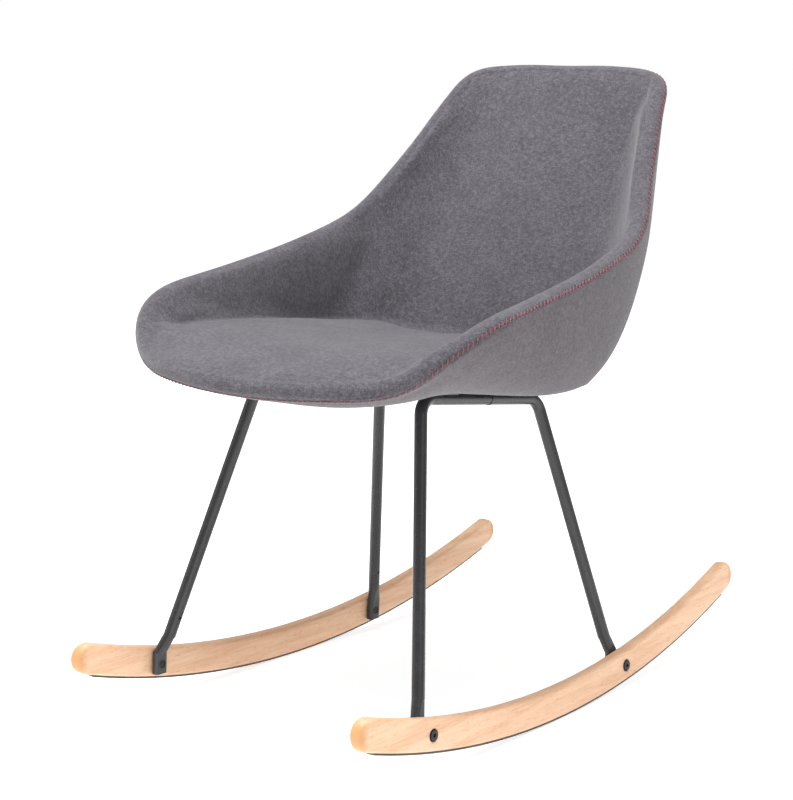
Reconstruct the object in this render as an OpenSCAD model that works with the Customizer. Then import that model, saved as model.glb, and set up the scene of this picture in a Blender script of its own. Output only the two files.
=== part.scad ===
// Rocking chair: an upholstered bucket seat on two bent-tube side frames, bolted to a pair of bent-wood
// rockers. Millimetres, +Z up, the floor at z = 0, the sitter faces -Y and +X is the sitter's left.
// The origin lies on the floor at the middle of the footprint.

/* [Rockers] */
// Radius of the rolling edge of the wood
rocker_r = 1315; // [1250:5:1400]
// Height of the rocker's section
rocker_h = 40; // [36:1:44]
// Thickness of the rocker
rocker_t = 18; // [16:1:20]
// Rounding of the rocker's long edges
rocker_edge = 5; // [2:0.5:7]
// Where the rockers touch the floor, measured from the middle of the footprint
contact_y = -16; // [-30:1:0]
// Reach of the rocker in front of and behind the middle of the footprint
rocker_reach = 431.5; // [420:0.5:440]
// Half the distance over the rockers' outer faces at the contact point
rocker_x = 236; // [230:1:245]
// Angle at which the rockers close towards the back
toe = 1.2; // [0:0.1:2]
// Angle at which the rockers lean in at the top
camber = 3.3; // [0:0.1:5]
// Thickness of the anti-slip strip under the rocker
strip_t = 2.2; // [1:0.1:3]
// Width of the anti-slip strip
strip_w = 12; // [8:1:14]

/* [Side frames] */
// Outer radius of the frame tube
tube_r = 8; // [7:0.5:9]
// Wall of the frame tube
tube_wall = 1.5; // [1:0.1:2]
// Radius of the bends, on the tube's centre line
bend_r = 24; // [20:1:32]
// Half the distance between the two rails
rail_x = 132; // [125:1:138]
// Front corner of the rail: y, z
rail_front = [-185.4, 428.1];
// Rear corner of the rail: y, z
rail_rear = [59.1, 394.2];
// Front bolt, measured back from the contact point
bolt_front = -280; // [-290:1:-270]
// Rear bolt, measured back from the contact point
bolt_rear = 151; // [140:1:160]
// Thickness, width and length of the flattened tube ends
foot = [11, 20, 30];

/* [Seat fixing] */
// Width of the flat bars under the seat
plate_w = 46; // [36:1:50]
// Thickness of the flat bars
plate_t = 3; // [2:0.5:5]
// Distance of each bar's middle from the middle of the rail
plate_y = 76; // [70:1:84]
// Half the distance between the two seat screws of a bar
screw_x = 86; // [76:1:92]
// Thickness of the rubber pads on the bars
pad_t = 1.5; // [1:0.1:2]

/* [Upholstery] */
// Radius of the rolled rim
rim_r = 13; // [11:0.5:15]
// How far the seam sits up the outer side of the roll, as an angle
seam_angle = 42; // [30:1:60]
// Thickness of the fabric covers
cover_t = 1.2; // [0.8:0.1:2]
// Thickness of the outer foam
outer_foam_t = 3; // [2:0.1:5]
// Thickness of the moulded shell
core_t = 4; // [3:0.5:5]
// Height of the seat cushion's crown
crown = 6; // [0:1:12]

/* [Hidden] */
$fn = 48;
gap = 0.1;
// Where one length of tube or wood runs into the next, the first is this much fatter and laps over it
lap = 0.05;
lap_length = 0.8;
charcoal = [0.10, 0.10, 0.11];
steel = [0.62, 0.63, 0.65];
beech = [0.87, 0.70, 0.50];
felt = [0.41, 0.40, 0.43];
foam = [0.90, 0.87, 0.72];

// The rail's own frame: its middle, its slope down to the back and its half length
rail_mid = [(rail_front[0] + rail_rear[0]) / 2, (rail_front[1] + rail_rear[1]) / 2];
rail_d = [rail_rear[0] - rail_front[0], rail_rear[1] - rail_front[1]];
rail_slope = atan2(rail_d[1], rail_d[0]);
rail_half = norm(rail_d) / 2;
// Height of the pan over the rails' centre lines
pan_z = tube_r + plate_t + pad_t;

// Rows of the bucket, from the middle of the front lip round one arm to the middle of the top edge.
// Each row has the centre of the rolled rim, the way the wall runs out at the rim, the crease at the foot
// of the inner wall, and the corner that pulls the outer skin round under the seat.
STATIONS = [
    [[0, -368, 454], [0, -1, -0.35], [0, -277, 488], [0, -360, 422]],
    [[112, -357, 458], [0.15, -1, -0.3], [104, -275, 490], [110, -350, 422]],
    [[196, -320, 467], [0.6, -0.8, -0.05], [186, -277, 493], [188, -302, 434]],
    [[242, -280, 502], [0.6, -0.4, 0.65], [220, -248, 494], [222, -252, 446]],
    [[260, -220, 529], [0.42, -0.1, 0.9], [223, -182, 493], [224, -176, 432]],
    [[256, -110, 547], [0.36, -0.1, 0.92], [222, -92, 486], [228, -77, 412]],
    [[248, 18, 571], [0.4, -0.35, 0.85], [222, -2, 474], [224, 26, 394]],
    [[232, 132, 608], [0.42, -0.68, 0.6], [210, 66, 467], [212, 119, 386]],
    [[200, 204, 681], [0.45, -0.8, 0.4], [182, 108, 462], [187, 180, 387]],
    [[174, 264, 756], [0.55, -0.7, 0.45], [148, 131, 451], [155, 220, 388]],
    [[152, 302, 798], [0.6, -0.2, 0.75], [108, 138, 447], [112, 230, 384]],
    [[86, 312, 808], [0.15, 0.15, 0.95], [56, 140, 446], [56, 236, 386]],
    [[0, 314, 808], [0, 0.25, 0.97], [0, 140, 445], [0, 238, 386]]
];
SEAT_CENTRE = [0, -72, 478];
// Rows between two stations, steps over the seat, up the wall, over the roll and round the outer skin
ROWS = 3;
SEAT_STEPS = 4;
WALL_STEPS = 6;
ROLL_STEPS = 6;

// ---- curves ----

function unit(v) = v / norm(v);

function flip(p) = [-p[0], p[1], p[2]];

function spline(p0, p1, p2, p3, u) =
    0.5 * (2 * p1 + (p2 - p0) * u + (2 * p0 - 5 * p1 + 4 * p2 - p3) * u * u
    + (3 * p1 - p0 - 3 * p2 + p3) * u * u * u);

function bezier(p, u) =
    len(p) == 1 ? p[0] : bezier([for (k = [1:len(p) - 1]) p[k - 1] * (1 - u) + p[k] * u], u);

// Column c of the station table, mirrored past both ends of the half loop
function station(c, k) =
    k < 0 ? flip(STATIONS[-k][c])
    : k < len(STATIONS) ? STATIONS[k][c] : flip(STATIONS[2 * len(STATIONS) - 2 - k][c]);

function along(c, i) =
    let (k = min(floor(i / ROWS), len(STATIONS) - 2), u = i / ROWS - k)
    spline(station(c, k - 1), station(c, k), station(c, k + 1), station(c, k + 2), u);

HALF = ROWS * (len(STATIONS) - 1);

function rim_run(i) =
    i == 0 ? [1, 0, 0] : i == HALF ? [-1, 0, 0] : unit(along(0, i + 1) - along(0, i - 1));

function across_run(w, run) = unit(w - run * (w * run));

// ---- the bucket's rows ----

// Height of the flat pan under the seat, where the base board lies
function pan_height(y) =
    rail_mid[1] + (y - rail_mid[0]) * tan(rail_slope) + pan_z / cos(rail_slope);
pan_up = [0, -sin(rail_slope), cos(rail_slope)];

// Middle of the pan
pan_y = -64;
pan_centre = [0, pan_y, pan_height(pan_y)];

function pan_edge(b) =
    let (y = pan_y + (b[1] - pan_y) * 0.46)
    [b[0] * 0.68, y, pan_height(y)];

// Row i as [inner skin from the seat's centre to the roll, outer skin from the pan's centre to the roll,
// roll centre, wall direction, outward normal]
function row(i) =
    let (q = along(0, i),
        run = rim_run(i),
        w = across_run(along(1, i), run),
        n = cross(run, w),
        c = along(2, i),
        b = along(3, i),
        p = pan_edge(b),
        top = q - rim_r * n,
        low = q + rim_r * n,
        li = norm(top - c) * 0.35,
        lo = norm(low - b) * 0.3)
    [
        [
            for (k = [0:SEAT_STEPS - 1])
                let (s = k / SEAT_STEPS)
                SEAT_CENTRE * (1 - s) + c * s + [0, 0, 4 * crown * s * (1 - s)],
            for (k = [0:WALL_STEPS])
                bezier([c, c + unit(top - c) * li, top - w * li * 0.45, top], k / WALL_STEPS)
        ],
        [
            for (k = [0:SEAT_STEPS - 1])
                let (s = k / SEAT_STEPS)
                pan_centre * (1 - s) + p * s,
            for (k = [0:WALL_STEPS])
                bezier([p, b + (p - b) * 0.4, b, low - w * lo, low], k / WALL_STEPS)
        ],
        q, w, n
    ];

HALF_ROWS = [for (i = [0:HALF]) row(i)];

function flip_all(list) = [for (p = list) flip(p)];

function flip_row(r) = [flip_all(r[0]), flip_all(r[1]), flip(r[2]), flip(r[3]), flip(r[4])];

// The whole loop: one half, then its mirror image back to the start
SKINS = concat(HALF_ROWS, [for (i = [HALF - 1:-1:1]) flip_row(HALF_ROWS[i])]);
LAST = SEAT_STEPS + WALL_STEPS;

// Way into the padding from point j of row i; skin 0 is the inner one, skin 1 the outer one
function inward(i, skin, j) =
    let (n = len(SKINS), face = skin == 0 ? 1 : -1, here = SKINS[i][skin])
    j == 0 ? -face * pan_up
    : j == LAST ? face * SKINS[i][4]
    : face * unit(cross(SKINS[(i + 1) % n][skin][j] - SKINS[(i + n - 1) % n][skin][j], here[j + 1] - here[j - 1]));

LOOP = [
    for (i = [0:len(SKINS) - 1])
        concat(SKINS[i], [[for (skin = [0, 1]) [for (j = [0:LAST]) inward(i, skin, j)]]])
];

// Point j of a row at depth d under the outer skin
function from_outer(r, j, d) = r[1][j] + d * r[5][1][j];

// Point j of a row at depth d under the inner skin
function from_inner(r, j, d) = r[0][j] + d * r[5][0][j];

// Points of the roll at radius rad, from angle a to angle b; 0 is the inner side, 180 the outer side
function roll(r, rad, a, b, steps) =
    [for (k = [0:steps]) let (t = a + (b - a) * k / steps) r[2] + rad * (sin(t) * r[3] - cos(t) * r[4])];

function inner_line(r, d, a, b) = [for (j = [a:b]) from_inner(r, j, d)];

function outer_line(r, d, a, b) = [for (j = [a:(b > a ? 1 : -1):b]) from_outer(r, j, d)];

// Depth of the shell's inner and outer faces under the outer skin
shell_in = cover_t + outer_foam_t + core_t + 3 * gap;
shell_out = cover_t + outer_foam_t + 2 * gap;

// ---- lofts over the loop ----

// Two triangles over four points, split along the shorter diagonal
function quad(p, a, b, c, d) =
    norm(p[a] - p[c]) < norm(p[b] - p[d]) ? [[a, b, c], [a, c, d]] : [[a, b, d], [b, c, d]];

// Closed ring: every row is a closed outline
module ring(rows) {
    n = len(rows);
    m = len(rows[0]);
    points = [for (r = rows) each r];
    faces = [
        for (i = [0:n - 1], j = [0:m - 1])
            let (a = i * m, d = ((i + 1) % n) * m, next = (j + 1) % m)
            each quad(points, a + j, a + next, d + next, d + j)
    ];
    polyhedron(points = points, faces = faces, convexity = 10);
}

// Closed dish: every row runs from one shared pole to the other
module dish(rows) {
    n = len(rows);
    m = len(rows[0]) - 2;
    points = [for (r = rows) each [for (j = [1:m]) r[j]]];
    pole = n * m;
    faces = [
        for (i = [0:n - 1])
            let (a = i * m, d = ((i + 1) % n) * m)
            each [
                [pole, a, d],
                [pole + 1, d + m - 1, a + m - 1],
                for (j = [0:m - 2]) each quad(points, a + j, a + j + 1, d + j + 1, d + j)
            ]
    ];
    polyhedron(points = concat(points, [rows[0][0], rows[0][m + 1]]), faces = faces, convexity = 10);
}

// ---- placing ----

// Left-hand parts are drawn at +X; side = -1 mirrors them
module on_side(side) {
    mirror([side < 0 ? 1 : 0, 0, 0]) children();
}

// Frame of the rails: origin between their middles, y along them, z square to them
module rail_space() {
    translate([0, rail_mid[0], rail_mid[1]]) rotate([rail_slope, 0, 0]) children();
}

// Frame of the left rocker: x = 0 on its outer face, y = 0 at the contact point, z = 0 at the wood's edge
rocker_lift = strip_t * cos(camber) + (rocker_t + strip_w) / 2 * sin(camber);
module rocker_space() {
    translate([rocker_x, contact_y, rocker_lift]) rotate([0, 0, toe]) rotate([0, -camber, 0]) children();
}

function turn_y(p, a) = [p[0] * cos(a) + p[2] * sin(a), p[1], p[2] * cos(a) - p[0] * sin(a)];

function turn_z(p, a) = [p[0] * cos(a) - p[1] * sin(a), p[0] * sin(a) + p[1] * cos(a), p[2]];

function from_rocker(p) = [rocker_x, contact_y, rocker_lift] + turn_z(turn_y(p, -camber), toe);

mid_r = rocker_r - rocker_h / 2;
function on_rocker(y) = [0, y, rocker_r - sqrt(mid_r * mid_r - y * y)];

module each_bolt() {
    for (side = [1, -1], y = [bolt_front, bolt_rear])
        on_side(side) rocker_space() translate(on_rocker(y)) children();
}

module each_seat_screw() {
    rail_space() for (x = [-1, 1], y = [-1, 1]) translate([x * screw_x, y * plate_y, 0]) children();
}

// ---- seat ----

// Moulded shell that carries the seat; recessed for the T-nuts
module shell_core() {
    rows = [
        for (r = LOOP)
            concat(inner_side_of_core(r), outer_line(r, shell_out, LAST - 1, 0))
    ];
    color([0.72, 0.58, 0.42]) difference() {
        dish(rows);
        each_seat_screw() {
            translate([0, 0, pan_z]) cylinder(r = 4, h = 30);
            translate([0, 0, pan_z + shell_in - 1.4]) cylinder(r = 9.2, h = 6);
        }
    }
}
function inner_side_of_core(r) = outer_line(r, shell_in - gap, 0, LAST - 1);

// Flat board that closes the underside and takes the screws' clamping load
module base_board() {
    rows = [
        for (r = LOOP)
            concat(outer_line(r, shell_out - gap, 0, SEAT_STEPS), outer_line(r, 0, SEAT_STEPS, 0))
    ];
    color([0.16, 0.15, 0.15]) difference() {
        dish(rows);
        each_seat_screw() translate([0, 0, pan_z - 5]) cylinder(r = 3.4, h = 30);
    }
}

// Seat cushion foam between the shell and the seat cover
module seat_foam() {
    rows = [
        for (r = LOOP)
            concat(inner_line(r, cover_t + gap, 0, SEAT_STEPS), outer_line(r, shell_in, SEAT_STEPS, 0))
    ];
    color(foam) dish(rows);
}

// Foam of the arms, the back and the rolled rim
module wall_foam() {
    rows = [
        for (r = LOOP)
            concat(inner_line(r, cover_t + gap, SEAT_STEPS, LAST - 1),
                roll(r, rim_r - cover_t - gap, 0, 180, ROLL_STEPS),
                outer_line(r, cover_t + gap, LAST - 1, LAST - 1),
                outer_line(r, shell_in, LAST - 1, SEAT_STEPS))
    ];
    color(foam) ring(rows);
}

// Thin foam between the shell and the outer cover
module outer_foam() {
    rows = [
        for (r = LOOP)
            concat(outer_line(r, shell_out - gap, SEAT_STEPS, LAST - 1),
                outer_line(r, cover_t + gap, LAST - 1, SEAT_STEPS))
    ];
    color(foam) ring(rows);
}

// Fabric over the seat, the inner walls and the roll, down to the rim seam
module inner_cover() {
    stop = 180 - seam_angle;
    rows = [
        for (r = LOOP)
            concat(inner_line(r, 0, 0, LAST - 1), roll(r, rim_r, 0, stop, ROLL_STEPS),
                roll(r, rim_r - cover_t, stop, 0, ROLL_STEPS),
                [for (j = [LAST - 1:-1:0]) from_inner(r, j, cover_t)])
    ];
    color(felt) dish(rows);
}

// Fabric over the outside, from the rim seam to the edge of the base board
module outer_cover() {
    start = 180 - seam_angle + 0.6;
    rows = [
        for (r = LOOP)
            concat(roll(r, rim_r - cover_t, start, 180, 2), outer_line(r, cover_t, LAST - 1, SEAT_STEPS),
                outer_line(r, 0, SEAT_STEPS, LAST - 1), roll(r, rim_r, 180, start, 2))
    ];
    color([0.44, 0.42, 0.43]) ring(rows);
}

// Contrast thread that shows along the rim seam
module seam_thread() {
    thread_r = 0.9;
    t = 180 - seam_angle;
    rows = [
        for (r = LOOP)
            let (out = sin(t) * r[3] - cos(t) * r[4],
                side = cos(t) * r[3] + sin(t) * r[4],
                at = r[2] + (rim_r + thread_r + gap) * out)
            [for (k = [0:5]) at + thread_r * (cos(60 * k) * out + sin(60 * k) * side)]
    ];
    color([0.62, 0.20, 0.24]) ring(rows);
}

// Wire staples round the base board's edge, which trap the outer cover behind it
module cover_staples() {
    wire = 0.7;
    color(steel) for (i = [0:3:2 * HALF - 1])
        let (r = LOOP[i], p = r[1][SEAT_STEPS], v = p - pan_centre)
        translate(p - unit(v) * 5 - pan_up * wire / 2)
            rotate([rail_slope, 0, 0]) rotate([0, 0, atan2(v[1], v[0])])
                cube([wire, 10, wire], center = true);
}

// Flanged nuts pressed into the shell from above
module t_nuts() {
    color(steel) each_seat_screw() difference() {
        union() {
            translate([0, 0, pan_z + shell_in - 1.3]) cylinder(r = 9, h = 1.2);
            translate([0, 0, pan_z + shell_out]) cylinder(r = 3.9, h = core_t - 1);
        }
        translate([0, 0, pan_z]) cylinder(r = 3, h = 30);
    }
}

// Button-head screws up through the flat bars
module seat_screws() {
    head_z = tube_r - 1.3;
    color(charcoal) each_seat_screw() difference() {
        union() {
            translate([0, 0, head_z - 3.2]) cylinder(r = 5.2, h = 3.2);
            translate([0, 0, head_z]) cylinder(r = 2.95, h = pan_z + shell_in - 1 - head_z);
        }
        translate([0, 0, head_z - 4]) cylinder(r = 2.3, h = 2.8, $fn = 6);
    }
}

// Flat ring standing on z = 0
module washer(outer, inner, t) {
    difference() {
        cylinder(r = outer, h = t);
        translate([0, 0, -1]) cylinder(r = inner, h = t + 2);
    }
}

// Steel washers under the seat screws' heads
module screw_washers() {
    color(steel) each_seat_screw() translate([0, 0, tube_r - 1.25]) washer(6.5, 3.2, 1.2);
}

// Rubber pads between the flat bars and the base board
module plate_pads() {
    color([0.08, 0.08, 0.08]) each_seat_screw() translate([0, 0, tube_r + plate_t]) washer(11, 3.4, pad_t);
}

module rounded_rect(w, h, r) {
    square([w - 2 * r, h], center = true);
    square([w, h - 2 * r], center = true);
    for (x = [-1, 1], y = [-1, 1]) translate([x * (w / 2 - r), y * (h / 2 - r)]) circle(r = r);
}

// Flat bar across the two rails, drilled for two seat screws
module seat_plate(y) {
    color(charcoal) rail_space() translate([0, y, tube_r]) linear_extrude(plate_t) difference() {
        rounded_rect(2 * rail_x + 12, plate_w, 5);
        for (x = [-1, 1]) translate([x * screw_x, 0]) circle(r = 3.3);
    }
}

module front_seat_plate() {
    seat_plate(-plate_y);
}

module rear_seat_plate() {
    seat_plate(plate_y);
}

// Weld beads between the flat bars and the rails
module plate_welds() {
    bead = plate_w * 0.8;
    color(charcoal) rail_space() difference() {
        for (x = [-1, 1], y = [-1, 1], s = [-1, 1])
            translate([x * rail_x + s * 5.2, y * plate_y + bead / 2, tube_r - 1.5])
                rotate([90, 0, 0]) cylinder(r = 2, h = bead);
        for (x = [-1, 1]) translate([x * rail_x, 150, 0]) rotate([90, 0, 0]) cylinder(r = tube_r, h = 300);
        translate([-200, -150, tube_r]) cube([400, 300, 10]);
    }
}

// ---- frame ----

// Straight round bar from a to b
module bar(a, b, r) {
    v = b - a;
    translate(a) rotate([0, acos(v[2] / norm(v)), atan2(v[1], v[0])]) cylinder(r = r, h = norm(v));
}

// Straight tube from a to b, lapped over what it joins at both ends
module tube(a, b) {
    v = unit(b - a) * lap_length;
    difference() {
        bar(a - v, b + v, tube_r + lap);
        bar(a - 2 * v, b + 2 * v, tube_r - tube_wall - lap);
    }
}

function half_angle(a, p, b) = acos(unit(a - p) * unit(b - p)) / 2;

// How far a bend reaches from its corner p towards a and b
function bend_reach(a, p, b) = bend_r / tan(half_angle(a, p, b));

// Bent tube round the corner p, between the directions to a and to b
module bend(a, p, b) {
    u = unit(a - p);
    v = unit(b - p);
    half = half_angle(a, p, b);
    n = unit(cross(u, v));
    x = -unit(u + v);
    y = cross(n, x);
    c = p - x * bend_r / sin(half);
    multmatrix([[x[0], y[0], n[0], c[0]], [x[1], y[1], n[1], c[1]], [x[2], y[2], n[2], c[2]], [0, 0, 0, 1]])
        rotate([0, 0, half - 90]) rotate_extrude(angle = 180 - 2 * half) translate([bend_r, 0])
            difference() {
                circle(r = tube_r);
                circle(r = tube_r - tube_wall);
            }
}

// Tube along four points, bent at the two middle ones
module bent_tube(p) {
    r1 = bend_reach(p[0], p[1], p[2]);
    r2 = bend_reach(p[1], p[2], p[3]);
    tube(p[0], p[1] + unit(p[0] - p[1]) * r1);
    bend(p[0], p[1], p[2]);
    tube(p[1] + unit(p[2] - p[1]) * r1, p[2] + unit(p[1] - p[2]) * r2);
    bend(p[1], p[2], p[3]);
    tube(p[2] + unit(p[3] - p[2]) * r2, p[3]);
}

// Middle of a flattened tube end, beside the rocker's inner face
function foot_at(y) = from_rocker(on_rocker(y) - [rocker_t + gap + foot[0] / 2, 0, 0]);

corner_front = [rail_x, rail_front[0], rail_front[1]];
corner_rear = [rail_x, rail_rear[0], rail_rear[1]];

// Tube end pressed flat against the rocker, running out into the round leg towards corner
module flat_end(y, corner) {
    below = 13;
    inset = 0.2;
    up = unit(corner - foot_at(y));
    middle = on_rocker(y) - [rocker_t + gap + foot[0] / 2, 0, 0];
    rocker_space() translate(middle - [0, 0, below])
        linear_extrude(foot[2]) rounded_rect(foot[0], foot[1], 4.5);
    hull() {
        rocker_space() translate(middle + [0, 0, foot[2] - below - 2]) linear_extrude(1)
            rounded_rect(foot[0] - inset, foot[1] - inset, 4.5, $fn = 32);
        bar(foot_at(y) + up * (leg_start + 1), foot_at(y) + up * (leg_start + 2), tube_r - inset, $fn = 32);
    }
}

// Where the round leg starts above the bolt
leg_start = 40;

// One bent tube: front leg, rail and rear leg
module side_frame() {
    front = foot_at(bolt_front);
    rear = foot_at(bolt_rear);
    front_up = unit(corner_front - front);
    rear_up = unit(corner_rear - rear);
    vent_up = leg_start + 25;
    color(charcoal) difference() {
        union() {
            bent_tube([front + front_up * leg_start, corner_front, corner_rear, rear + rear_up * leg_start]);
            flat_end(bolt_front, corner_front);
            flat_end(bolt_rear, corner_rear);
        }
        for (y = [bolt_front, bolt_rear])
            rocker_space() translate(on_rocker(y) - [rocker_t + 30, 0, 0]) rotate([0, 90, 0])
                cylinder(r = 5.55, h = 60);
        for (p = [front + front_up * vent_up, rear + rear_up * vent_up])
            translate(p) rotate([0, -90, 0]) cylinder(r = 2, h = 20);
    }
}

module left_side_frame() {
    side_frame();
}

module right_side_frame() {
    on_side(-1) side_frame();
}

// Ground weld that joins the two halves of each rail
module rail_joints() {
    color([0.05, 0.05, 0.05]) rail_space() for (x = [-1, 1])
        translate([x * rail_x, 18, 0]) rotate([90, 0, 0]) washer(tube_r + 0.7, tube_r + 0.02, 4);
}

// Threaded bushes through the flattened tube ends
module leg_bushes() {
    color(steel) each_bolt() translate([-rocker_t - gap - foot[0] - 0.6, 0, 0]) rotate([0, 90, 0])
        washer(5.5, 4, foot[0] + 0.5);
}

// ---- rockers ----

// Solid of revolution about the rocker's centre of roll, over the local y range [y0, y1] at radius at_r
module sweep(y0, y1, at_r) {
    a0 = asin(y0 / at_r);
    a1 = asin(y1 / at_r);
    translate([0, 0, rocker_r]) rotate([90, 0, 90]) rotate([0, 0, a0 - 90])
        rotate_extrude(angle = a1 - a0, $fn = 360) children();
}

end_front = -(rocker_reach + contact_y) + rocker_h / 2;
end_rear = rocker_reach - contact_y - rocker_h / 2;

// Half section of the rocker, to be turned about the middle of its end
module half_section() {
    intersection() {
        translate([0, -rocker_t / 2]) rounded_rect(rocker_h, rocker_t, rocker_edge);
        translate([0, -rocker_t]) square([rocker_h, rocker_t]);
    }
}

// Round end beyond the local point y, lapped by the swept length
module round_end(y) {
    over = asin(lap_length / (rocker_h / 2));
    scale_in = 1 - 2 * lap / rocker_t;
    translate(on_rocker(y)) rotate([asin(y / mid_r) + (y < 0 ? 180 : 0), 0, 0]) rotate([0, 90, 0])
        rotate([0, 0, -over]) rotate_extrude(angle = 180 + 2 * over)
            translate([0, -rocker_t / 2]) scale([scale_in, scale_in]) translate([0, rocker_t / 2]) half_section();
}

module rocker() {
    cup = 3.6;
    difference() {
        union() {
            sweep(end_front, end_rear, mid_r)
                translate([mid_r, -rocker_t / 2]) rounded_rect(rocker_h, rocker_t, rocker_edge);
            round_end(end_front);
            round_end(end_rear);
        }
        for (y = [bolt_front, bolt_rear]) translate(on_rocker(y)) rotate([0, 90, 0]) {
            translate([0, 0, -rocker_t - 1]) cylinder(r = 4.2, h = rocker_t + 2);
            translate([0, 0, -cup]) cylinder(r = 8.4, h = cup + 1);
        }
    }
}

module left_rocker() {
    color(beech) rocker_space() rocker();
}

module right_rocker() {
    color(beech) on_side(-1) rocker_space() rocker();
}

// Strip along the rolling edge that keeps the chair from slipping and marking the floor
module glide_strip() {
    margin = 14;
    color([0.33, 0.31, 0.30]) rocker_space() sweep(end_front + margin, end_rear - margin, mid_r)
        translate([rocker_r + strip_t / 2, -rocker_t / 2]) square([strip_t, strip_w], center = true);
}

module left_glide_strip() {
    glide_strip();
}

module right_glide_strip() {
    on_side(-1) glide_strip();
}

// Furniture bolts through the rockers into the leg bushes
module rocker_bolts() {
    head_x = -3.6 + 1.25;
    shank = rocker_t + gap + foot[0] + head_x;
    color(charcoal) each_bolt() difference() {
        union() {
            translate([head_x, 0, 0]) rotate([0, 90, 0]) cylinder(r = 7, h = 3.6);
            translate([head_x - shank, 0, 0]) rotate([0, 90, 0]) cylinder(r = 3.95, h = shank);
        }
        translate([head_x + 1.4, 0, 0]) rotate([0, 90, 0]) cylinder(r = 2.9, h = 5, $fn = 6);
    }
}

// Washers in the rockers' counterbores
module rocker_washers() {
    color(charcoal) each_bolt() translate([-3.6, 0, 0]) rotate([0, 90, 0]) washer(8, 4.2, 1.2);
}

shell_core();
base_board();
seat_foam();
wall_foam();
outer_foam();
inner_cover();
outer_cover();
seam_thread();
cover_staples();
t_nuts();
seat_screws();
screw_washers();
plate_pads();
front_seat_plate();
rear_seat_plate();
plate_welds();
left_side_frame();
right_side_frame();
rail_joints();
leg_bushes();
left_rocker();
right_rocker();
left_glide_strip();
right_glide_strip();
rocker_bolts();
rocker_washers();
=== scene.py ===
"""Looks of the rocking chair: upholstery, stitching, wood and metal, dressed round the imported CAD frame."""

import logging
import math
from dataclasses import dataclass
from enum import Enum
from typing import Any, Sequence

import bpy
import numpy as np
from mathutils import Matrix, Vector
from mathutils.bvhtree import BVHTree


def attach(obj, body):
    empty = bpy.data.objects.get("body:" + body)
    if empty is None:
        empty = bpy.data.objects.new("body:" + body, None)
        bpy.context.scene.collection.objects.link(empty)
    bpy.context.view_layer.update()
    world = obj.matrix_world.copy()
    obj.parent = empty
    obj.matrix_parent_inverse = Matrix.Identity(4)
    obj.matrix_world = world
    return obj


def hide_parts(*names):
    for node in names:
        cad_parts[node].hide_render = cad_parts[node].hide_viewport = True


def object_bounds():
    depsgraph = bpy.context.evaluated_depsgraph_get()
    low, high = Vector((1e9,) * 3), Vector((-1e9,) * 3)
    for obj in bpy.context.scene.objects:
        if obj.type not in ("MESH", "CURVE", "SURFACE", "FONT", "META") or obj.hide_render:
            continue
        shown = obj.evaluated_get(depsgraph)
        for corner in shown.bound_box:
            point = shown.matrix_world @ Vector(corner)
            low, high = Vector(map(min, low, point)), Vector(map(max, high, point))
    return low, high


logging.basicConfig(level=logging.INFO, format="%(message)s")
LOG = logging.getLogger("rocking_chair")

BODY = "root"
MM = 0.001
NOTHING = 1e-9

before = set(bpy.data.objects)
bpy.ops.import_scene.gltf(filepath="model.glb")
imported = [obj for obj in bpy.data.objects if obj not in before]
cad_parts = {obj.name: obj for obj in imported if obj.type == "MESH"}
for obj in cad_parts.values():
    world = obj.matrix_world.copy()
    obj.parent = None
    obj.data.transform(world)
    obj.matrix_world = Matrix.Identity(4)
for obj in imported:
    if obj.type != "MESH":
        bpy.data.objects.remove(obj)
CAD_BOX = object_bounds()


# ---- selecting and editing --------------------------------------------------------------------


def deselect_all() -> None:
    """Leaves nothing selected in object mode."""
    if bpy.context.object is not None and bpy.context.object.mode != "OBJECT":
        bpy.ops.object.mode_set(mode="OBJECT")
    bpy.ops.object.select_all(action="DESELECT")


def pick(piece: bpy.types.Object) -> None:
    """Makes a piece the only selected and the active one."""
    deselect_all()
    bpy.context.view_layer.objects.active = piece
    piece.select_set(True)


def clone(node: str, name: str) -> bpy.types.Object:
    """Copies a CAD node's mesh into a new piece and merges its loose triangles.

    Args:
        node: name of the CAD node.
        name: name of the new piece.

    Returns:
        The new piece, selected and active, with no material.
    """
    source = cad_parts[node]
    piece = bpy.data.objects.new(name, source.data.copy())
    bpy.context.scene.collection.objects.link(piece)
    piece.data.name = name
    piece.data.materials.clear()
    pick(piece)
    bpy.ops.object.mode_set(mode="EDIT")
    bpy.ops.mesh.select_all(action="SELECT")
    bpy.ops.mesh.remove_doubles(threshold=0.02 * MM)
    bpy.ops.mesh.customdata_custom_splitnormals_clear()
    bpy.ops.object.mode_set(mode="OBJECT")
    return piece


def apply_modifier(piece: bpy.types.Object, kind: str, **settings: Any) -> None:
    """Adds a modifier with its settings and applies it.

    Args:
        piece: the piece it works on.
        kind: Blender's name of the modifier type.
        **settings: the modifier's own settings.
    """
    pick(piece)
    modifier = piece.modifiers.new(kind.title(), kind)
    for key, value in settings.items():
        setattr(modifier, key, value)
    bpy.ops.object.modifier_apply(modifier=modifier.name)


def points_of(mesh: bpy.types.Mesh) -> np.ndarray:
    """Returns the mesh's points as rows of three numbers."""
    flat = np.empty(len(mesh.vertices) * 3)
    mesh.vertices.foreach_get("co", flat)
    return flat.reshape(-1, 3)


def move_points(mesh: bpy.types.Mesh, points: np.ndarray) -> None:
    """Writes rows of three numbers back as the mesh's points."""
    mesh.vertices.foreach_set("co", points.ravel())
    mesh.update()


def normals_of(mesh: bpy.types.Mesh) -> np.ndarray:
    """Returns the normal at each of the mesh's points."""
    flat = np.empty(len(mesh.vertices) * 3)
    mesh.vertex_normals.foreach_get("vector", flat)
    return flat.reshape(-1, 3)


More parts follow.
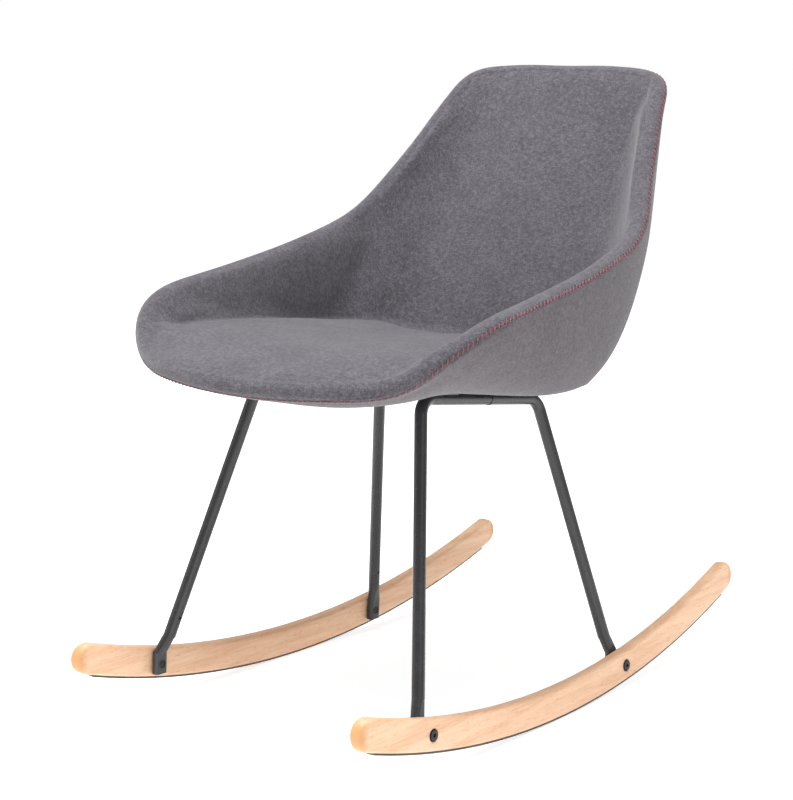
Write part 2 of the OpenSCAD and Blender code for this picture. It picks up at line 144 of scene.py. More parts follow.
def tree_of(*nodes: str) -> BVHTree:
    """Returns a search tree over the surfaces of CAD nodes."""
    corners: list[Vector] = []
    faces: list[tuple[int, ...]] = []
    for node in nodes:
        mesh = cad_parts[node].data
        start = len(corners)
        corners.extend(v.co.copy() for v in mesh.vertices)
        faces.extend(tuple(start + i for i in f.vertices) for f in mesh.polygons)
    return BVHTree.FromPolygons(corners, faces)


def distances(points: np.ndarray, tree: BVHTree) -> np.ndarray:
    """Returns each point's distance from the tree's surface, in metres."""
    return np.array([tree.find_nearest(Vector(p))[3] for p in points])


def smooth_step(values: np.ndarray, low: float, high: float) -> np.ndarray:
    """Rises smoothly from 0 at low to 1 at high."""
    t = np.clip((values - low) / (high - low), 0.0, 1.0)
    return t * t * (3.0 - 2.0 * t)


def dress(piece: bpy.types.Object, material: bpy.types.Material, slot: str, *nodes: str) -> None:
    """Gives a finished piece its material and body, and hides the CAD nodes that it stands for.

    Args:
        piece: the finished piece.
        material: what it is covered in.
        slot: not used.
        *nodes: CAD nodes that it replaces.
    """
    piece.data.materials.clear()
    piece.data.materials.append(material)
    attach(piece, BODY)
    if nodes:
        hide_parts(*nodes)
    LOG.info("%s: %d points, %d faces", piece.name, len(piece.data.vertices), len(piece.data.polygons))


# ---- shader maths -----------------------------------------------------------------------------


class Blend(Enum):
    """Ways in which one colour goes over another."""

    MIX = "MIX"
    MULTIPLY = "MULTIPLY"


class Wire:
    """A node's output, with Python's operators as Math nodes."""

    def __init__(self, tree: "Graph", socket: bpy.types.NodeSocket) -> None:
        """Wraps one socket of a graph."""
        self.tree = tree
        self.socket = socket

    def _math(self, operation: str, *values: Any) -> "Wire":
        """Adds one Math node over the values."""
        return self.tree.node("ShaderNodeMath", {"operation": operation}, dict(enumerate(values)))

    def __add__(self, other: Any) -> "Wire":
        """Sum."""
        return self._math("ADD", self, other)

    __radd__ = __add__

    def __mul__(self, other: Any) -> "Wire":
        """Product."""
        return self._math("MULTIPLY", self, other)

    __rmul__ = __mul__

    def __sub__(self, other: Any) -> "Wire":
        """Difference."""
        return self._math("SUBTRACT", self, other)

    def __rsub__(self, other: Any) -> "Wire":
        """Difference from a number."""
        return self._math("SUBTRACT", other, self)

    def step(self, low: float, high: float) -> "Wire":
        """Rises smoothly from 0 at low to 1 at high."""
        return self.tree.node(
            "ShaderNodeMapRange",
            {"interpolation_type": "SMOOTHSTEP"},
            {"Value": self, "From Min": low, "From Max": high},
        )


class Graph:
    """A material's node tree with one Principled shader."""

    def __init__(self, name: str, constants: dict[str, Any]) -> None:
        """Starts a material whose shader sockets hold the given constants."""
        self.material = bpy.data.materials.new(name)
        self.material.use_nodes = True
        self.nodes = self.material.node_tree.nodes
        self.links = self.material.node_tree.links
        self.shader = next(n for n in self.nodes if n.type == "BSDF_PRINCIPLED")
        for key, value in constants.items():
            self.shader.inputs[key].default_value = value

    def node(self, kind: str, settings: dict[str, Any], inputs: dict[Any, Any], output: Any = 0) -> Wire:
        """Adds any node.

        Args:
            kind: Blender's name of the node type.
            settings: its own settings, set first; "stops" fills a colour ramp.
            inputs: values or wires of its sockets, by name or number.
            output: the socket that is returned.

        Returns:
            The chosen output.
        """
        node = self.nodes.new(kind)
        for key, value in settings.items():
            if key == "stops":
                ramp = node.color_ramp
                while len(ramp.elements) < len(value):
                    ramp.elements.new(0.5)
                for element, (place, colour) in zip(ramp.elements, value):
                    element.position = place
                    element.color = (*colour, 1.0)
            else:
                setattr(node, key, value)
        for key, value in inputs.items():
            if isinstance(value, Wire):
                self.links.new(value.socket, node.inputs[key])
            else:
                node.inputs[key].default_value = value
        return Wire(self, node.outputs[output])

    def place(
        self, scale: Sequence[float] = (1.0, 1.0, 1.0), turn: Sequence[float] = (0.0, 0.0, 0.0)
    ) -> Wire:
        """Returns object coordinates, stretched and turned."""
        where = self.node("ShaderNodeTexCoord", {}, {}, "Object")
        return self.node("ShaderNodeMapping", {}, {"Vector": where, "Scale": scale, "Rotation": turn})

    def noise(self, where: Wire, scale: float, detail: float = 2.0, rough: float = 0.5) -> Wire:
        """Returns a noise of the given scale per metre, from 0 to 1."""
        inputs = {"Vector": where, "Scale": scale, "Detail": detail, "Roughness": rough}
        return self.node("ShaderNodeTexNoise", {}, inputs)

    def mix(self, factor: Any, first: Any, second: Any, way: Blend = Blend.MIX) -> Wire:
        """Returns one colour over another by a factor."""
        settings = {"data_type": "RGBA", "blend_type": way.value}
        return self.node("ShaderNodeMix", settings, {0: factor, 6: first, 7: second}, 2)

    def feed(self, **wires: Wire) -> None:
        """Links wires to the shader's sockets, named with underscores for spaces."""
        for key, wire in wires.items():
            self.links.new(wire.socket, self.shader.inputs[key.replace("_", " ")])

    def bump(self, height: Wire, depth: float, strength: float = 1.0) -> None:
        """Roughens the surface by a height from 0 to 1 that stands for a depth in metres."""
        inputs = {"Strength": strength, "Distance": depth, "Height": height}
        self.feed(Normal=self.node("ShaderNodeBump", {}, inputs))


def rgb(red: float, green: float, blue: float) -> tuple[float, float, float, float]:
    """Returns an opaque colour."""
    return (red, green, blue, 1.0)


# ---- finishes ---------------------------------------------------------------------------------


@dataclass(frozen=True)
class WoolFelt:
    """Heathered wool felt: light and dark fibres lying in two ways."""

    name: str
    dark: tuple[float, float, float, float]
    middle: tuple[float, float, float, float]
    light: tuple[float, float, float, float]
    fibres_per_metre: float = 700.0

    def build(self) -> bpy.types.Material:
        """Returns the cloth's material."""
        g = Graph(self.name, {"Sheen Weight": 0.25, "Sheen Roughness": 0.5, "Specular IOR Level": 0.12})
        whole = g.place()
        upright = g.noise(g.place((1.0, 1.0, 0.25), (0.12, 0.08, 0.0)), self.fibres_per_metre, 3.0, 0.65)
        across = g.noise(g.place((0.25, 0.6, 1.0), (0.0, 0.1, 0.1)), self.fibres_per_metre, 3.0, 0.65)
        fleck = g.noise(whole, 2.4 * self.fibres_per_metre, 2.0, 0.6)
        tuft = g.noise(whole, 170.0, 3.0, 0.6)
        cloud = g.noise(whole, 26.0, 4.0, 0.6)
        heather = (upright + across) * 0.5 + (fleck - 0.5) * 0.4 + (tuft - 0.5) * 0.36 + (cloud - 0.5) * 0.14
        base = g.node("ShaderNodeValToRGB", {"stops": [(0.37, self.dark[:3]), (0.5, self.middle[:3]),
                                                        (0.63, self.light[:3])]}, {"Fac": heather})
        g.feed(Base_Color=base, Roughness=0.98 - fleck * 0.12)
        g.bump(fleck * 0.45 + heather * 0.55, 0.5 * MM, 0.5)
        return g.material


@dataclass(frozen=True)
class Beech:
    """Pale lacquered beech with lengthwise grain and short darker rays."""

    name: str = "beech"
    pale: tuple[float, float, float, float] = rgb(0.86, 0.57, 0.375)
    warm: tuple[float, float, float, float] = rgb(0.73, 0.43, 0.25)
    end: tuple[float, float, float, float] = rgb(0.62, 0.30, 0.10)
    tip_start: float = 16.0 * MM
    tip_full: float = 2.0 * MM

    def build(self) -> bpy.types.Material:
        """Returns the wood's material."""
        g = Graph(self.name, {"Coat Weight": 0.18, "Coat Roughness": 0.35, "Specular IOR Level": 0.4})
        reach = CAD_BOX[1].y
        along = g.place((9.0, 0.55, 9.0))
        grain = g.noise(along, 9.0, 5.0, 0.55)
        figure = g.noise(along, 42.0, 3.0, 0.6)
        rays = g.noise(g.place((1.0, 0.16, 1.0)), 620.0, 1.0, 0.5).step(0.60, 0.70)
        body = g.mix((grain * 0.65 + figure * 0.35).step(0.36, 0.66), self.pale, self.warm)
        flecked = g.mix(rays * 0.35, body, self.warm, Blend.MULTIPLY)
        where = g.node("ShaderNodeTexCoord", {}, {}, "Object")
        lengthwise = g.node("ShaderNodeSeparateXYZ", {}, {"Vector": where}, "Y")
        either_way = g.node("ShaderNodeMath", {"operation": "ABSOLUTE"}, {0: lengthwise})
        tip = either_way.step(reach - self.tip_start, reach - self.tip_full)
        g.feed(Base_Color=g.mix(tip * 0.8, flecked, self.end), Roughness=0.42 + figure * 0.14)
        g.bump(figure * 0.7 + rays * 0.3, 0.12 * MM, 0.35)
        return g.material


@dataclass(frozen=True)
class Coating:
    """Paint, plating or rubber: one colour with a fine skin, and a little dust and wear."""

    name: str
    colour: tuple[float, float, float, float]
    worn: tuple[float, float, float, float]
    metallic: float
    roughness: float
    skin_scale: float = 900.0
    skin_depth: float = 0.06 * MM

    def build(self) -> bpy.types.Material:
        """Returns the coating's material."""
        g = Graph(self.name, {"Metallic": self.metallic, "Specular IOR Level": 0.5})
        whole = g.place()
        skin = g.noise(whole, self.skin_scale, 2.0, 0.5)
        cloud = g.noise(whole, 35.0, 4.0, 0.6)
        g.feed(Base_Color=g.mix(cloud.step(0.35, 0.75) * 0.35 + skin * 0.12, self.colour, self.worn),
               Roughness=self.roughness + (cloud - 0.5) * 0.14)
        g.bump(skin, self.skin_depth, 0.5)
        return g.material


@dataclass(frozen=True)
class Thread:
    """Twisted sewing thread, its plies running slantwise."""

    name: str = "red_thread"
    colour: tuple[float, float, float, float] = rgb(0.34, 0.10, 0.13)
    deep: tuple[float, float, float, float] = rgb(0.17, 0.05, 0.065)

    def build(self) -> bpy.types.Material:
        """Returns the thread's material."""
        g = Graph(self.name, {"Roughness": 0.7, "Sheen Weight": 0.3, "Specular IOR Level": 0.3})
        plies = g.node("ShaderNodeTexWave", {"bands_direction": "DIAGONAL"},
                       {"Vector": g.place(), "Scale": 700.0, "Distortion": 0.6}, "Fac")
        hairs = g.noise(g.place(), 2600.0, 1.0, 0.5)
        g.feed(Base_Color=g.mix(plies * 0.6 + hairs * 0.4, self.deep, self.colour))
        g.bump(plies, 0.25 * MM, 0.6)
        return g.material


@dataclass(frozen=True)
class OpenFoam:
    """Cut open-cell foam."""

    name: str = "foam"

    def build(self) -> bpy.types.Material:
        """Returns the foam's material."""
        g = Graph(self.name, {"Roughness": 0.95})
        cells = g.node("ShaderNodeTexVoronoi", {}, {"Vector": g.place(), "Scale": 900.0}, "Distance")
        g.feed(Base_Color=g.mix(cells, rgb(0.55, 0.48, 0.28), rgb(0.86, 0.80, 0.60)))
        g.bump(cells, 0.4 * MM, 0.6)
        return g.material


@dataclass(frozen=True)
class Veneer:
    """Moulded plywood shell."""

    name: str = "plywood"

    def build(self) -> bpy.types.Material:
        """Returns the veneer's material."""
        g = Graph(self.name, {"Roughness": 0.6})
        grain = g.noise(g.place((14.0, 14.0, 0.8)), 12.0, 5.0, 0.6)
        g.feed(Base_Color=g.mix(grain, rgb(0.38, 0.24, 0.12), rgb(0.72, 0.52, 0.32)))
        g.bump(grain, 0.2 * MM, 0.4)
        return g.material


@dataclass(frozen=True)
class DustCloth:
    """Black spun-bonded cloth that faces the board under the seat."""

    name: str = "dust_cloth"

    def build(self) -> bpy.types.Material:
        """Returns the cloth's material."""
        g = Graph(self.name, {"Roughness": 0.9, "Sheen Weight": 0.15})
        dimple = g.node("ShaderNodeTexVoronoi", {}, {"Vector": g.place(), "Scale": 420.0}, "Distance")
        fibre = g.noise(g.place((1.0, 3.0, 1.0)), 600.0, 3.0, 0.6)
        pattern = dimple * 0.5 + fibre * 0.5
        g.feed(Base_Color=g.mix(pattern, rgb(0.006, 0.006, 0.006), rgb(0.045, 0.045, 0.048)))
        g.bump(dimple * 0.6 + fibre * 0.4, 0.3 * MM, 0.6)
        return g.material


FELT_DARK = rgb(0.058, 0.053, 0.063)
FELT_MIDDLE = rgb(0.090, 0.083, 0.096)
FELT_LIGHT = rgb(0.140, 0.129, 0.147)
OUTER_DARK = rgb(0.060, 0.053, 0.060)
OUTER_MIDDLE = rgb(0.093, 0.083, 0.093)
OUTER_LIGHT = rgb(0.142, 0.128, 0.142)
CHARCOAL = rgb(0.024, 0.024, 0.026)
CHARCOAL_WORN = rgb(0.050, 0.050, 0.054)
OXIDE = rgb(0.010, 0.009, 0.009)
ZINC = rgb(0.58, 0.59, 0.60)


# ---- upholstery -------------------------------------------------------------------------------


@dataclass
class Upholstery:
    """The padded bucket: its two covers, the foam inside them and the stitching along the rim."""

    cover_thickness: float = 1.2 * MM
    seam_gap: float = 4.0 * MM
    swell: float = 4.0 * MM
    pressure: float = 4.0
    frames: int = 20
    groove: float = 0.9 * MM
    groove_width: float = 4.0 * MM
    hem_ridge: float = 0.5 * MM
    inset: float = 3.0 * MM
    thin_share: float = 0.25
    tuck_depth: float = 1.4 * MM
    tuck_reach: float = 3.5 * MM
    backed_group: str = "backed"
    seen_below: float = 0.3
    most_correction: float = 4.0 * MM
    stitch_pitch: float = 7.5 * MM
    stitch_length: float = 9.0 * MM
    stitch_radius: float = 0.8 * MM
    stitch_slant: float = math.radians(38)

    def build(self) -> None:
        """Makes and dresses every soft piece."""
        self.seam = self._seam_path()
        felt = WoolFelt("felt_inner", FELT_DARK, FELT_MIDDLE, FELT_LIGHT).build()
        outside = WoolFelt("felt_outer", OUTER_DARK, OUTER_MIDDLE, OUTER_LIGHT).build()
        foam = OpenFoam().build()
        inner = self._cover("inner_cover", "inner_upholstery", ("seat_foam", "wall_foam"))
        dress(inner, felt, "felt_inner", "inner_cover")
        outer = self._cover("outer_cover", "outer_upholstery", ("outer_foam", "wall_foam"))
        dress(outer, outside, "felt_outer", "outer_cover")
        skins = [self._skin(inner), self._skin(outer)]
        for node in ("seat_foam", "wall_foam", "outer_foam"):
            self._pad(node, skins, foam)
        self._stitches(inner, Thread().build())

    def _pad(self, node: str, skins: list[BVHTree], foam: bpy.types.Material) -> None:
        """Makes a foam pad that lies a little deeper than its CAD solid and wholly under the covers.

        Args:
            node: the CAD node that it stands for.
            skins: the covers' outward faces.
            foam: its material.
        """
        pad = clone(node, node + "_pad")
        points, normals = points_of(pad.data), normals_of(pad.data)
        body = BVHTree.FromPolygons(points.tolist(), [tuple(f.vertices) for f in pad.data.polygons])
        start = 0.05 * MM
        through = [body.ray_cast(Vector(p - start * n), Vector(-n))[3] for p, n in zip(points, normals)]
        depth = np.array([0.0 if t is None else min(self.inset, self.thin_share * t) for t in through])
        move_points(pad.data, points - normals * depth[:, None])
        apply_modifier(pad, "SUBSURF", subdivision_type="SIMPLE", levels=2, render_levels=2)
        self._tuck(pad, skins)
        dress(pad, foam, "foam", node)

    def _tuck(self, pad: bpy.types.Object, skins: list[BVHTree]) -> None:
        """Pushes a pad's points back under the covers wherever they come too near.

        Args:
            pad: the foam.
            skins: the covers' outward faces.
        """
        points = points_of(pad.data)
        for skin in skins:
            for number, point in enumerate(points):
                spot = Vector(point)
                place, normal, _, gap = skin.find_nearest(spot)
                over = (spot - place).dot(normal) + self.tuck_depth
                if gap < self.tuck_reach and over > 0.0:
                    points[number] = spot - normal * over
        move_points(pad.data, points)

    def _skin(self, cover: bpy.types.Object) -> BVHTree:
        """Returns a search tree over the side of a cover that can be seen.

        Args:
            cover: the finished cover.

        Returns:
            The tree over its outward faces.
        """
        seen = self._seen(cover)
        faces = [tuple(f.vertices) for f in cover.data.polygons]
        return BVHTree.FromPolygons([v.co for v in cover.data.vertices],
                                    [face for face in faces if seen[list(face)].all()])

    def _seen(self, cover: bpy.types.Object) -> np.ndarray:
        """Tells which points of a cover are on the side away from the foam.

        Args:
            cover: the cover, at any stage after its sides were marked.

        Returns:
            One truth value per point.
        """
        group = cover.vertex_groups[self.backed_group].index
        weights = [sum(g.weight for g in v.groups if g.group == group) for v in cover.data.vertices]
        return np.array(weights) < self.seen_below

    def _cage(self, node: str, name: str) -> bpy.types.Object:
        """Copies a lofted CAD solid as a quad mesh whose sharp edges are creased.

        Args:
            node: name of the CAD node.
            name: name of the new piece.

        Returns:
            The quad piece.
        """
        piece = clone(node, name)
        bpy.ops.object.mode_set(mode="EDIT")
        bpy.ops.mesh.select_all(action="SELECT")
        bpy.ops.mesh.tris_convert_to_quads(face_threshold=math.radians(32), shape_threshold=math.radians(80))
        bpy.ops.mesh.select_all(action="DESELECT")
        bpy.ops.mesh.select_mode(type="EDGE")
        for sharpness, crease in ((34, 0.6), (62, 0.4)):
            bpy.ops.mesh.select_all(action="DESELECT")
            bpy.ops.mesh.edges_select_sharp(sharpness=math.radians(sharpness))
            bpy.ops.transform.edge_crease(value=crease)
        bpy.ops.object.mode_set(mode="OBJECT")
        return piece

    def _counter_shrink(self, piece: bpy.types.Object, rounds: int = 2) -> None:
        """Moves a cage out where it is round, so that its subdivided surface passes through its points.

        Args:
            piece: the cage.
            rounds: how often the correction is refined.
        """
        wanted = points_of(piece.data)
        cage = wanted.copy()
        for _ in range(rounds):
            trial = bpy.data.objects.new("trial", piece.data.copy())
            bpy.context.scene.collection.objects.link(trial)
            move_points(trial.data, cage)
            apply_modifier(trial, "SUBSURF", levels=1, render_levels=1)
            miss = wanted - points_of(trial.data)[:len(wanted)]
            length = np.maximum(np.linalg.norm(miss, axis=1), NOTHING)
            cage += miss * np.minimum(1.0, self.most_correction / length)[:, None]
            bpy.data.objects.remove(trial)
        move_points(piece.data, cage)

    def _cover(self, node: str, name: str, backing: tuple[str, ...]) -> bpy.types.Object:
        """Turns a CAD cover into sewn, padded cloth.

        Args:
            node: name of the CAD node.
            name: name of the new piece.
            backing: CAD nodes that the cover lies on.

        Returns:
            The finished cover.
        """
        piece = self._cage(node, name)
        near = distances(points_of(piece.data), tree_of(*backing)) < 0.6 * self.cover_thickness
        self._hold(piece, near)
        self._counter_shrink(piece)
        apply_modifier(piece, "SUBSURF", levels=1, render_levels=1)
        self._inflate(piece)
        apply_modifier(piece, "SUBSURF", levels=1, render_levels=1)
        self._sew(piece)
        bpy.ops.object.shade_smooth()
        return piece

    def _hold(self, piece: bpy.types.Object, backed: np.ndarray) -> None:
        """Marks what the pressure may not move: the side that lies on the foam, and the sewn edges.

        Args:
            piece: the cover before it is subdivided.
            backed: which of its points lie on the foam.
        """
        lying = [int(i) for i in np.flatnonzero(backed)]
        piece.vertex_groups.new(name=self.backed_group).add(lying, 1.0, "REPLACE")
        held = piece.vertex_groups.new(name="held")
        held.add(lying, 1.0, "REPLACE")
        creases = piece.data.attributes.get("crease_edge")
        edges = [e for e in piece.data.edges if creases is not None and creases.data[e.index].value > 0.5]
        held.add(sorted({i for e in edges for i in e.vertices}), 1.0, "REPLACE")

    def _inflate(self, piece: bpy.types.Object) -> None:
        """Lets air pressure lift the cloth between its seams, and caps how far it moves.

        Args:
            piece: the cover after its first subdivision.
        """
        rest = points_of(piece.data)
        pick(piece)
        cloth = piece.modifiers.new("Cloth", "CLOTH")
        cloth.settings.quality = 5
        cloth.settings.mass = 0.3
        cloth.settings.tension_stiffness = 12.0
        cloth.settings.compression_stiffness = 12.0
        cloth.settings.shear_stiffness = 6.0
        cloth.settings.bending_stiffness = 1.5
        cloth.settings.use_pressure = True
        cloth.settings.uniform_pressure_force = self.pressure
        cloth.settings.vertex_group_mass = "held"
        cloth.settings.effector_weights.gravity = 0.0
        cloth.collision_settings.use_collision = False
        scene = bpy.context.scene
        for number in range(1, self.frames + 1):
            scene.frame_set(number)
        bpy.ops.object.modifier_apply(modifier=cloth.name)
        scene.frame_set(1)
        moved = points_of(piece.data) - rest
        length = np.linalg.norm(moved, axis=1)
        LOG.info("%s: cloth moved %.1f mm at most", piece.name, length.max() / MM)
        capped = np.tanh(length / self.swell) * self.swell / np.maximum(length, NOTHING)
        move_points(piece.data, rest + moved * capped[:, None])

    def _sew(self, piece: bpy.types.Object) -> None:
        """Pulls the cloth in along the rim seam and raises the turned-in hem beside it.

        Args:
            piece: the cover.
        """
        points = points_of(piece.data)
        normals = normals_of(piece.data)
        seam = self.seam
        reach = 4.0 * self.groove_width
        away = np.full(len(points), 1.0)
        place = np.zeros(len(points))
        lengths = np.concatenate([[0.0], np.cumsum(np.linalg.norm(np.diff(seam, axis=0), axis=1))])
        for start in range(0, len(points), 4000):
            block = points[start:start + 4000]
            gaps = np.linalg.norm(block[:, None, :] - seam[None, :, :], axis=2)
            nearest = gaps.argmin(axis=1)
            away[start:start + 4000] = gaps[np.arange(len(block)), nearest]
            place[start:start + 4000] = lengths[nearest]
        pulled = 1.0 - smooth_step(away, 0.2 * self.groove_width, self.groove_width)
        ridge = smooth_step(away, 0.5 * self.groove_width, 1.2 * self.groove_width)
        ridge *= 1.0 - smooth_step(away, 1.4 * self.groove_width, reach)
        pucker = 0.5 + 0.5 * np.sin(2.0 * math.pi * place / (2.0 * self.stitch_pitch))
        outward = self._seen(piece)
        lift = self.hem_ridge * ridge * (0.6 + 0.4 * pucker) - self.groove * pulled
        points += normals * (lift * outward)[:, None]
        move_points(piece.data, points)

    def _seam_path(self, spacing: float = 1.0 * MM) -> np.ndarray:
        """Reads the rim seam's line from the CAD thread.

        Args:
            spacing: distance between the points returned.

        Returns:
            A closed row of points along the seam.
        """
        points = np.unique(np.round(points_of(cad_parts["seam_thread"].data), 6), axis=0)
        middle = points.mean(axis=0)
        turn = np.arctan2(points[:, 1] - middle[1], points[:, 0] - middle[0])
        points = points[np.argsort(turn)]
        groups = [[points[0]]]
        for point in points[1:]:
            if np.linalg.norm(point - groups[-1][-1]) > self.seam_gap:
                groups.append([])
            groups[-1].append(point)
        if np.linalg.norm(points[0] - points[-1]) < self.seam_gap:
            groups[0] += groups.pop()
        knots = np.array([np.mean(g, axis=0) for g in groups])
        LOG.info("rim seam: %d knots", len(knots))
        fine = []
        for i in range(len(knots)):
            p0, p1, p2, p3 = (knots[(i + k) % len(knots)] for k in (-1, 0, 1, 2))
            steps = max(2, round(np.linalg.norm(p2 - p1) / spacing))
            for u in np.arange(steps) / steps:
                fine.append(0.5 * (2 * p1 + (p2 - p0) * u + (2 * p0 - 5 * p1 + 4 * p2 - p3) * u ** 2
                                   + (3 * p1 - p0 - 3 * p2 + p3) * u ** 3))
        fine.append(fine[0])
        return np.array(fine)

    def _stitch(self) -> bpy.types.Object:
        """Models one stitch: a short thread whose ends dive into the cloth.

        Returns:
            The stitch, along X at the origin.
        """
        deselect_all()
        bpy.ops.mesh.primitive_cylinder_add(vertices=6, radius=self.stitch_radius, depth=self.stitch_length,
                                            rotation=(0.0, math.pi / 2, 0.0))
        stitch = bpy.context.object
        stitch.name = "stitch"
        bpy.ops.object.transform_apply(location=False, rotation=True, scale=False)
        bpy.ops.object.mode_set(mode="EDIT")
        for share in (-0.34, -0.12, 0.12, 0.34):
            bpy.ops.mesh.select_all(action="SELECT")
            bpy.ops.mesh.bisect(plane_co=(share * self.stitch_length, 0.0, 0.0), plane_no=(1.0, 0.0, 0.0))
        bpy.ops.object.mode_set(mode="OBJECT")
        points = points_of(stitch.data)
        share = np.abs(points[:, 0]) / (self.stitch_length / 2)
        points[:, 1:] *= (1.0 - 0.45 * share ** 3)[:, None]
        points[:, 2] -= 2.2 * self.stitch_radius * share ** 3
        move_points(stitch.data, points)
        return stitch

    def _stitches(self, cover: bpy.types.Object, material: bpy.types.Material) -> None:
        """Lays slanted stitches over the rim seam, all the way round.

        Args:
            cover: the inner cover, whose surface sets how high the stitches sit.
            material: the thread.
        """
        seam = self.seam
        run = np.concatenate([[0.0], np.cumsum(np.linalg.norm(np.diff(seam, axis=0), axis=1))])
        count = int(run[-1] / self.stitch_pitch)
        tree = tree_of("wall_foam")
        surface = BVHTree.FromObject(cover, bpy.context.evaluated_depsgraph_get())
        stitch = self._stitch()
        shape = points_of(stitch.data)
        faces = [tuple(f.vertices) for f in stitch.data.polygons]
        corners: list[np.ndarray] = []
        all_faces: list[tuple[int, ...]] = []
        for number in range(count):
            at = run[-1] * number / count
            middle = np.array([np.interp(at, run, seam[:, k]) for k in range(3)])
            ahead = np.array([np.interp((at + 3 * MM) % run[-1], run, seam[:, k]) for k in range(3)])
            along = ahead - middle
            along /= np.linalg.norm(along)
            normal = middle - np.array(tree.find_nearest(Vector(middle))[0])
            normal -= along * np.dot(normal, along)
            normal /= np.linalg.norm(normal)
            across = np.cross(normal, along)
            way = math.cos(self.stitch_slant) * across + math.sin(self.stitch_slant) * along
            side = np.cross(normal, way)
            on_cloth = np.array(surface.find_nearest(Vector(middle))[0])
            middle = middle + normal * (np.dot(on_cloth - middle, normal) + 0.5 * self.stitch_radius)
            corners.append(middle + shape @ np.array([way, side, normal]))
            all_faces.extend(tuple(i + number * len(shape) for i in f) for f in faces)
        mesh = bpy.data.meshes.new("rim_stitching")
        mesh.from_pydata([tuple(p) for p in np.vstack(corners)], [], all_faces)
        piece = bpy.data.objects.new("rim_stitching", mesh)
        bpy.context.scene.collection.objects.link(piece)
        bpy.data.objects.remove(stitch)
        pick(piece)
        bpy.ops.object.shade_smooth()
        dress(piece, material, "red_thread", "seam_thread")


# ---- wood and metal ---------------------------------------------------------------------------


@dataclass(frozen=True)
class HardPart:
    """A rigid piece that keeps its CAD shape, with softened edges and smooth shading."""

    node: str
    slot: str
    edge: float = 0.0
    smooth_angle: float = math.radians(32)

    def build(self, material: bpy.types.Material) -> None:
        """Makes and dresses the piece.

        Args:
            material: its finish.
        """
        piece = clone(self.node, self.node + "_finished")
        if self.edge:
            apply_modifier(piece, "BEVEL", width=self.edge, segments=2, limit_method="ANGLE",
                           angle_limit=math.radians(48), harden_normals=False)
        pick(piece)
        bpy.ops.object.shade_smooth_by_angle(angle=self.smooth_angle)
        dress(piece, material, self.slot, self.node)


@dataclass
class Frame:
    """Bent tubes, cross bars and their welds, in powder coat."""

    def build(self) -> None:
        """Makes and dresses the metal under the seat."""
        coat = Coating("powder_coat", CHARCOAL, CHARCOAL_WORN, 0.0, 0.27, 700.0, 0.02 * MM).build()
        for node in ("left_side_frame", "right_side_frame", "rail_joints", "plate_welds"):
            HardPart(node, "powder_coat").build(coat)
        for node in ("front_seat_plate", "rear_seat_plate"):
            HardPart(node, "powder_coat", 0.5 * MM).build(coat)


@dataclass
class Rockers:
    """The two wooden rockers and the grip strips under them."""

    def build(self) -> None:
        """Makes and dresses the rockers and strips."""
        wood = Beech().build()
        grip = Coating("grip_strip", rgb(0.085, 0.075, 0.068), rgb(0.16, 0.145, 0.13), 0.0, 0.8, 1400.0,
                       0.25 * MM).build()
        for side in ("left", "right"):
            HardPart(side + "_rocker", "beech", 0.3 * MM).build(wood)
            HardPart(side + "_glide_strip", "glide", 0.25 * MM).build(grip)


@dataclass
class Fasteners:
    """Screws, bolts, washers, nuts, bushes and staples."""

    def build(self) -> None:
        """Makes and dresses the fasteners."""
        black = Coating("black_steel", OXIDE, rgb(0.030, 0.027, 0.025), 0.3, 0.45).build()
        zinc = Coating("zinc_steel", ZINC, rgb(0.40, 0.41, 0.43), 1.0, 0.34).build()
        rubber = Coating("rubber", rgb(0.018, 0.018, 0.018), rgb(0.04, 0.04, 0.04), 0.0, 0.75).build()
        for node in ("rocker_bolts", "seat_screws", "rocker_washers"):
            HardPart(node, "black_steel", 0.35 * MM).build(black)
        HardPart("leg_bushes", "zinc_steel", 0.12 * MM).build(black)
        for node in ("screw_washers", "t_nuts", "cover_staples"):
            HardPart(node, "zinc_steel", 0.12 * MM).build(zinc)
        HardPart("plate_pads", "rubber", 0.25 * MM).build(rubber)


@dataclass
class SeatShell:
    """The moulded shell and the board that closes it."""

    def build(self) -> None:
        """Makes and dresses the shell and the board."""
        HardPart("shell_core", "plywood").build(Veneer().build())
        HardPart("base_board", "base_cloth").build(DustCloth().build())


# ---- studio -----------------------------------------------------------------------------------


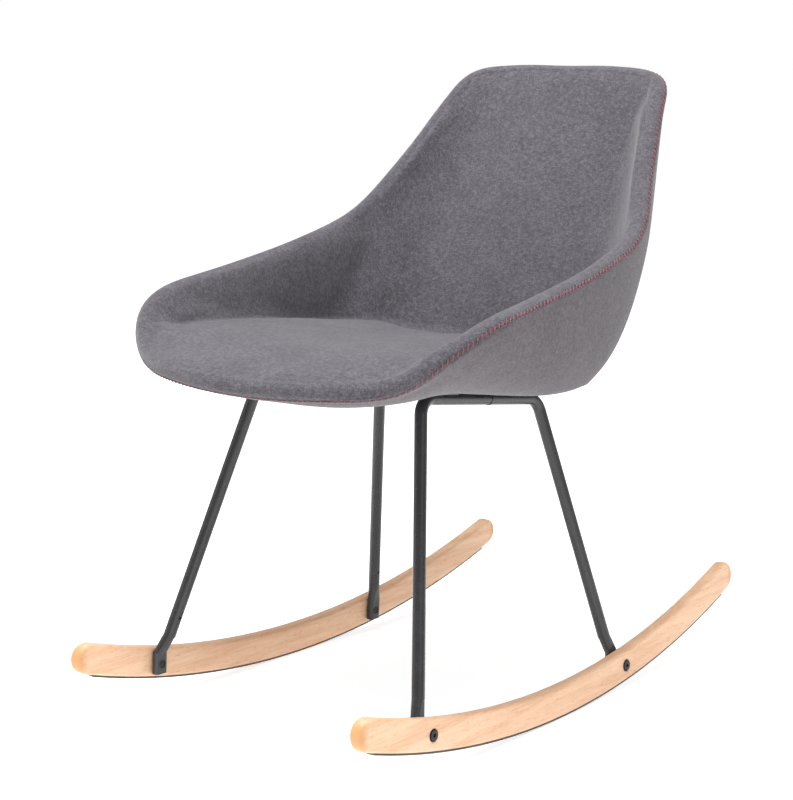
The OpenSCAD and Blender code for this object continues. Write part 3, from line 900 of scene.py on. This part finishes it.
@dataclass
class Studio:
    """Camera, floor and soft light."""

    azimuth: float = math.radians(38.82)
    elevation: float = math.radians(10.18)
    distance: float = 2.6786
    lens: float = 92.76
    target: tuple[float, float, float] = (0.0024, -0.0720, 0.3960)
    ambient: float = 0.42

    def camera(self) -> None:
        """Adds the camera and makes it the scene's."""
        a, e = self.azimuth, self.elevation
        back = Vector((math.sin(a) * math.cos(e), -math.cos(a) * math.cos(e), math.sin(e)))
        data = bpy.data.cameras.new("camera")
        data.lens = self.lens
        data.sensor_width = 36.0
        camera = bpy.data.objects.new("camera", data)
        bpy.context.scene.collection.objects.link(camera)
        camera.location = Vector(self.target) + back * self.distance
        camera.rotation_euler = (-back).to_track_quat("-Z", "Y").to_euler()
        bpy.context.scene.camera = camera

    def floor(self) -> None:
        """Adds a pale floor that fades into the backdrop."""
        deselect_all()
        bpy.ops.mesh.primitive_plane_add(size=60.0, location=(0.0, 0.0, CAD_BOX[0].z - 0.2 * MM))
        floor = bpy.context.object
        floor.name = "floor"
        g = Graph("floor", {"Base Color": rgb(0.80, 0.80, 0.80), "Roughness": 0.8, "Specular IOR Level": 0.0,
                            "Emission Color": rgb(1.0, 1.0, 1.0), "Emission Strength": 0.68})
        floor.data.materials.append(g.material)

    def light(self, name: str, place: Vector, size: float, power: float) -> None:
        """Adds one soft square light aimed at the seat.

        Args:
            name: its name.
            place: where it hangs.
            size: length of its side.
            power: its strength in watts.
        """
        data = bpy.data.lights.new(name, "AREA")
        data.size = size
        data.energy = power
        lamp = bpy.data.objects.new(name, data)
        bpy.context.scene.collection.objects.link(lamp)
        lamp.location = place
        lamp.rotation_euler = (Vector((0.0, 0.0, 0.4)) - place).to_track_quat("-Z", "Y").to_euler()

    def backdrop(self) -> None:
        """Makes a world that looks white to the camera and lights the chair more softly."""
        world = bpy.data.worlds.new("studio")
        world.use_nodes = True
        nodes, links = world.node_tree.nodes, world.node_tree.links
        ambient = nodes["Background"]
        ambient.inputs["Color"].default_value = rgb(1.0, 1.0, 1.0)
        ambient.inputs["Strength"].default_value = self.ambient
        white = nodes.new("ShaderNodeBackground")
        white.inputs["Color"].default_value = rgb(1.0, 1.0, 1.0)
        seen = nodes.new("ShaderNodeLightPath")
        choice = nodes.new("ShaderNodeMixShader")
        links.new(seen.outputs["Is Camera Ray"], choice.inputs["Fac"])
        links.new(ambient.outputs["Background"], choice.inputs[1])
        links.new(white.outputs["Background"], choice.inputs[2])
        links.new(choice.outputs["Shader"], nodes["World Output"].inputs["Surface"])
        bpy.context.scene.world = world

    def build(self) -> None:
        """Sets up the whole studio."""
        self.camera()
        self.floor()
        self.backdrop()
        self.light("top", Vector((0.1, -0.7, 3.2)), 2.2, 145.0)
        self.light("side", Vector((2.8, -0.6, 1.6)), 2.2, 8.0)
        self.light("fill", Vector((-2.4, -2.0, 1.6)), 2.4, 12.0)
        bpy.context.scene.view_settings.view_transform = "Standard"


def main() -> None:
    """Builds the studio and every sub-assembly in order."""
    Studio().build()
    Upholstery().build()
    SeatShell().build()
    Frame().build()
    Rockers().build()
    Fasteners().build()


if __name__ == "__main__":
    main()
